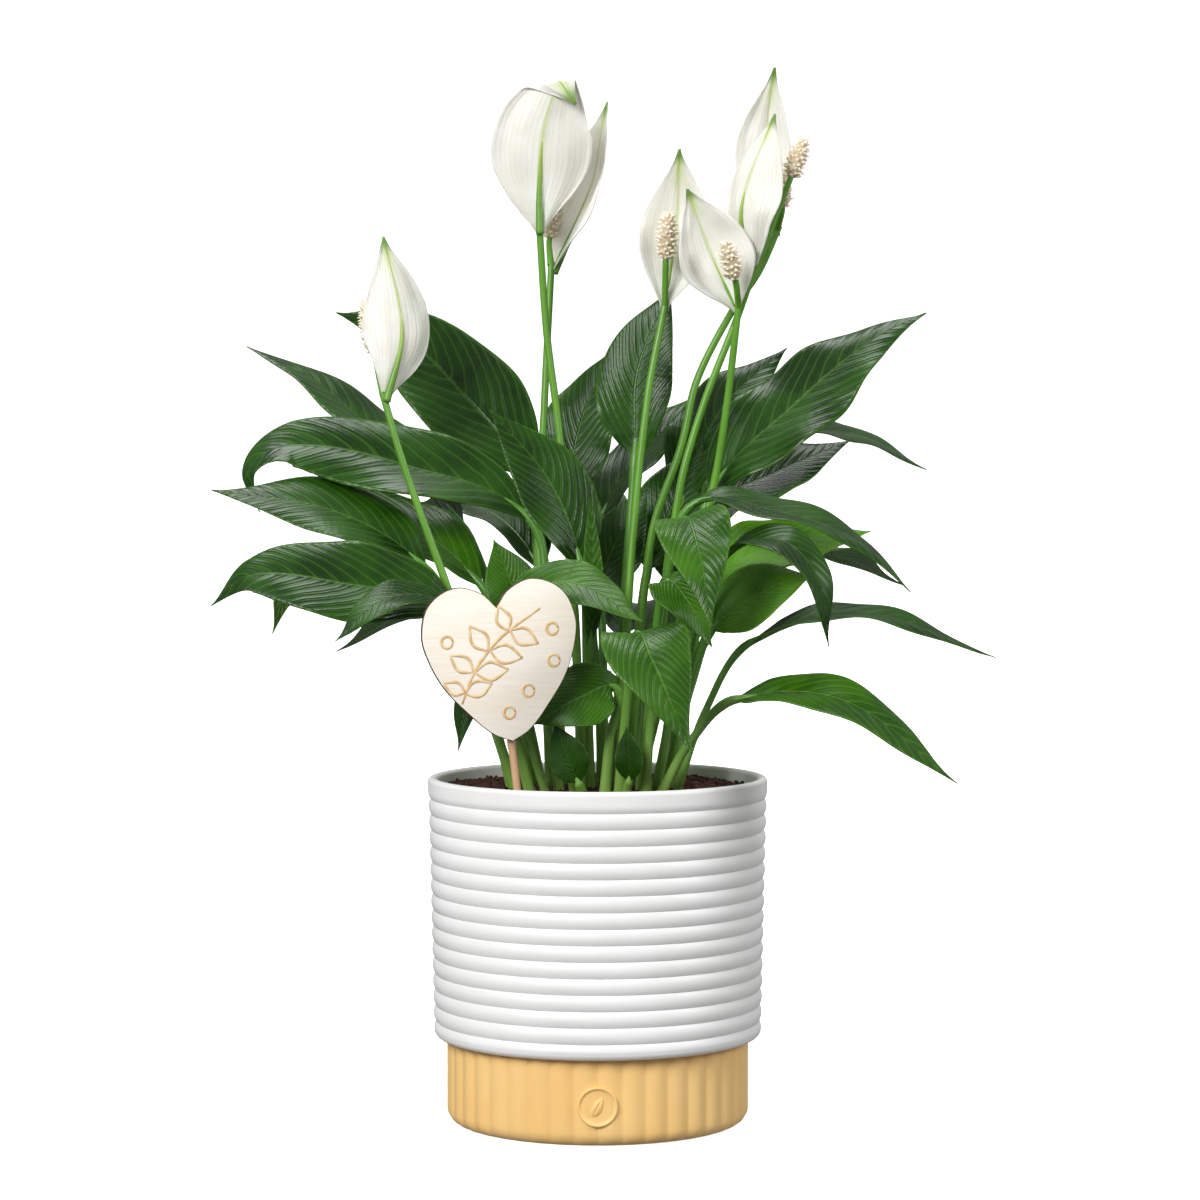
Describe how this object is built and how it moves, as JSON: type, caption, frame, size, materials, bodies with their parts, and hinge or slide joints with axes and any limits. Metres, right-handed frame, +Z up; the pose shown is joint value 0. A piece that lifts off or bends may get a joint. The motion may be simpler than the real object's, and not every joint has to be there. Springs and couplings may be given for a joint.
{
  "type": "potted peace lily",
  "caption": "Peace lily with glossy arching leaves and upright white blooms in a ribbed two-tone ceramic pot, with a wooden heart sign on a stick.",
  "frame": {"origin": "centre of the pot's flat underside", "axes": "+Z up along the pot's axis, -Y towards the side with the heart sign and the blank roundel, +X to the right seen from there"},
  "size_m": [0.3283, 0.2402, 0.4531],
  "materials": {
    "white_glaze": "satin",
    "yellow_glaze": "satin",
    "earth": "matte",
    "plywood": "matte",
    "stick_wood": "matte",
    "leaf_green": "gloss",
    "lime_green": "gloss",
    "stalk_green": "satin",
    "spathe_white": "matte",
    "spadix_cream": "matte"
  },
  "bodies": {
    "root": {"flower_behind_spadix": "spadix_cream", "flower_behind_spathe": "spathe_white", "flower_behind_stalk": "stalk_green", "flower_front_spadix": "spadix_cream", "flower_front_spathe": "spathe_white", "flower_front_stalk": "stalk_green", "flower_leaning_spadix": "spadix_cream", "flower_leaning_spathe": "spathe_white", "flower_leaning_stalk": "stalk_green", "flower_left_spadix": "spadix_cream", "flower_left_spathe": "spathe_white", "flower_left_stalk": "stalk_green", "flower_narrow_spadix": "spadix_cream", "flower_narrow_spathe": "spathe_white", "flower_narrow_stalk": "stalk_green", "flower_right_spadix": "spadix_cream", "flower_right_spathe": "spathe_white", "flower_right_stalk": "stalk_green", "flower_tallest_spadix": "spadix_cream", "flower_tallest_spathe": "spathe_white", "flower_tallest_stalk": "stalk_green", "heart_sign": "plywood", "leaf_back_broad": "leaf_green", "leaf_back_narrow": "leaf_green", "leaf_behind_sign": "leaf_green", "leaf_centre_glossy": "leaf_green", "leaf_front_dark": "leaf_green", "leaf_front_hanging": "leaf_green", "leaf_front_heart": "leaf_green", "leaf_left_arch": "leaf_green", "leaf_left_bright": "leaf_green", "leaf_left_drooping": "leaf_green", "leaf_left_front": "leaf_green", "leaf_left_high": "leaf_green", "leaf_left_low": "leaf_green", "leaf_left_middle": "leaf_green", "leaf_low_centre": "leaf_green", "leaf_rear_centre": "leaf_green", "leaf_rear_far_right": "leaf_green", "leaf_rear_left": "leaf_green", "leaf_rear_low": "leaf_green", "leaf_rear_low_left": "leaf_green", "leaf_rear_right": "leaf_green", "leaf_right_arch": "leaf_green", "leaf_right_back": "leaf_green", "leaf_right_behind": "leaf_green", "leaf_right_hook": "leaf_green", "leaf_right_large": "leaf_green", "leaf_right_lime": "lime_green", "leaf_right_lowest": "leaf_green", "leaf_right_middle": "leaf_green", "leaf_right_reaching": "leaf_green", "leaf_right_short": "leaf_green", "leaf_right_thin": "leaf_green", "leaf_under_sign": "leaf_green", "leaf_upright": "leaf_green", "pot_base": "yellow_glaze", "pot_body": "white_glaze", "potting_soil": "earth", "sign_stick": "stick_wood"}
  },
  "joints": []
}
